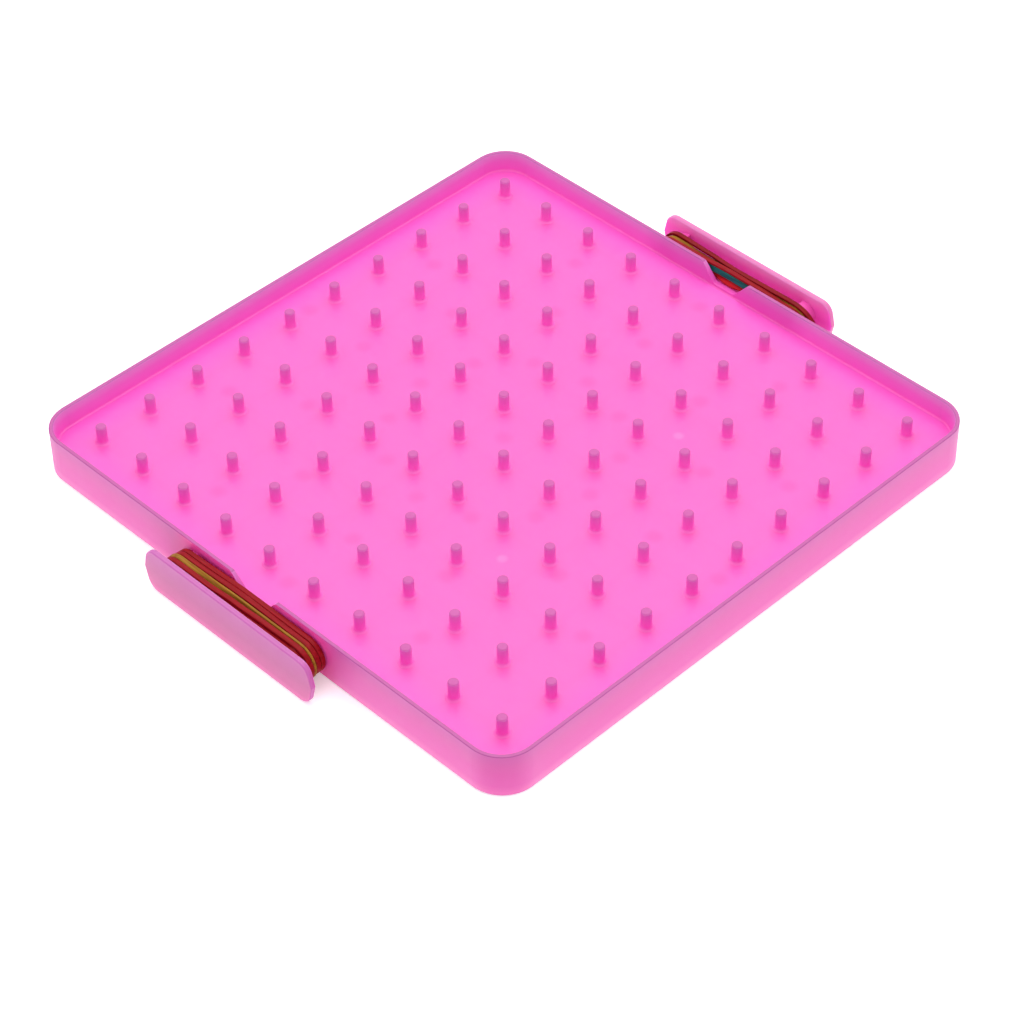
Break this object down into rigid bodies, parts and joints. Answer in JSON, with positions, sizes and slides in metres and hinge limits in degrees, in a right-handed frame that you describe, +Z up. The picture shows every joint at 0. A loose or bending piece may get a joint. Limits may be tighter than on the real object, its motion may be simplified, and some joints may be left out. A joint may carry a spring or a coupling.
{
  "type": "geoboard",
  "caption": "Translucent double-sided geoboard tray with a square peg grid, underside peg rings, and a rubber-band cleat on two opposite sides.",
  "frame": {"origin": "middle of the underside: centre of the bounding box in plan, at the level of the lower rim", "axes": "+Z up, square to the floor panel; the two band cleats face -Y (near) and +Y (far); +X to the right"},
  "size_m": [0.2314, 0.2568, 0.0176],
  "materials": {
    "board_plastic": "satin translucent moulded plastic",
    "band_red": "satin",
    "band_crimson": "satin",
    "band_ochre": "satin",
    "band_teal": "satin",
    "band_orange": "satin"
  },
  "bodies": {
    "board": {"floor_panel": "board_plastic", "wall_near": "board_plastic", "wall_far": "board_plastic", "wall_right": "board_plastic", "wall_left": "board_plastic", "wall_corners": "board_plastic", "grid_peg_row_01": "board_plastic", "grid_peg_row_02": "board_plastic", "grid_peg_row_03": "board_plastic", "grid_peg_row_04": "board_plastic", "grid_peg_row_05": "board_plastic", "grid_peg_row_06": "board_plastic", "grid_peg_row_07": "board_plastic", "grid_peg_row_08": "board_plastic", "grid_peg_row_09": "board_plastic", "grid_peg_row_10": "board_plastic", "underside_centre_peg": "board_plastic", "underside_peg_ring_1": "board_plastic", "underside_peg_ring_2": "board_plastic", "underside_peg_ring_3": "board_plastic", "near_cleat_plate": "board_plastic", "near_tongue_web": "board_plastic", "near_tongue_posts": "board_plastic", "far_cleat_plate": "board_plastic", "far_tongue_web": "board_plastic", "far_tongue_posts": "board_plastic"},
    "near_band_red_1": {"near_band_red_1": "band_red"},
    "near_band_red_2": {"near_band_red_2": "band_red"},
    "near_band_red_3": {"near_band_red_3": "band_red"},
    "near_band_red_4": {"near_band_red_4": "band_red"},
    "near_band_ochre": {"near_band_ochre": "band_ochre"},
    "far_band_orange": {"far_band_orange": "band_orange"},
    "far_band_teal": {"far_band_teal": "band_teal"},
    "far_band_red": {"far_band_red": "band_red"},
    "far_band_ochre": {"far_band_ochre": "band_ochre"},
    "far_band_crimson": {"far_band_crimson": "band_crimson"}
  },
  "joints": [
    {"name": "near_band_red_1_slide", "type": "slide", "parent": "board", "child": "near_band_red_1", "axis": [0, 1, 0], "range_m": [-0.0009, 0.0005]},
    {"name": "near_band_red_2_slide", "type": "slide", "parent": "board", "child": "near_band_red_2", "axis": [0, 1, 0], "range_m": [-0.0009, 0.0005]},
    {"name": "near_band_red_3_slide", "type": "slide", "parent": "board", "child": "near_band_red_3", "axis": [0, 1, 0], "range_m": [-0.0009, 0.0005]},
    {"name": "near_band_red_4_slide", "type": "slide", "parent": "board", "child": "near_band_red_4", "axis": [0, 1, 0], "range_m": [-0.0009, 0.0005]},
    {"name": "near_band_ochre_slide", "type": "slide", "parent": "board", "child": "near_band_ochre", "axis": [0, 1, 0], "range_m": [-0.0009, 0.0005]},
    {"name": "far_band_orange_slide", "type": "slide", "parent": "board", "child": "far_band_orange", "axis": [0, 1, 0], "range_m": [-0.0004, 0.0025]},
    {"name": "far_band_teal_slide", "type": "slide", "parent": "board", "child": "far_band_teal", "axis": [0, 1, 0], "range_m": [-0.0004, 0.0025]},
    {"name": "far_band_red_slide", "type": "slide", "parent": "board", "child": "far_band_red", "axis": [0, 1, 0], "range_m": [-0.0004, 0.0025]},
    {"name": "far_band_ochre_slide", "type": "slide", "parent": "board", "child": "far_band_ochre", "axis": [0, 1, 0], "range_m": [-0.0004, 0.0025]},
    {"name": "far_band_crimson_slide", "type": "slide", "parent": "board", "child": "far_band_crimson", "axis": [0, 1, 0], "range_m": [-0.0004, 0.0025]}
  ],
  "couplings": [
    {"joint": "near_band_red_2_slide", "follows": "near_band_red_1_slide", "ratio": 1},
    {"joint": "near_band_red_3_slide", "follows": "near_band_red_1_slide", "ratio": 1},
    {"joint": "near_band_red_4_slide", "follows": "near_band_red_1_slide", "ratio": 1},
    {"joint": "near_band_ochre_slide", "follows": "near_band_red_1_slide", "ratio": 1},
    {"joint": "far_band_teal_slide", "follows": "far_band_orange_slide", "ratio": 1},
    {"joint": "far_band_red_slide", "follows": "far_band_orange_slide", "ratio": 1},
    {"joint": "far_band_ochre_slide", "follows": "far_band_orange_slide", "ratio": 1},
    {"joint": "far_band_crimson_slide", "follows": "far_band_orange_slide", "ratio": 1}
  ]
}
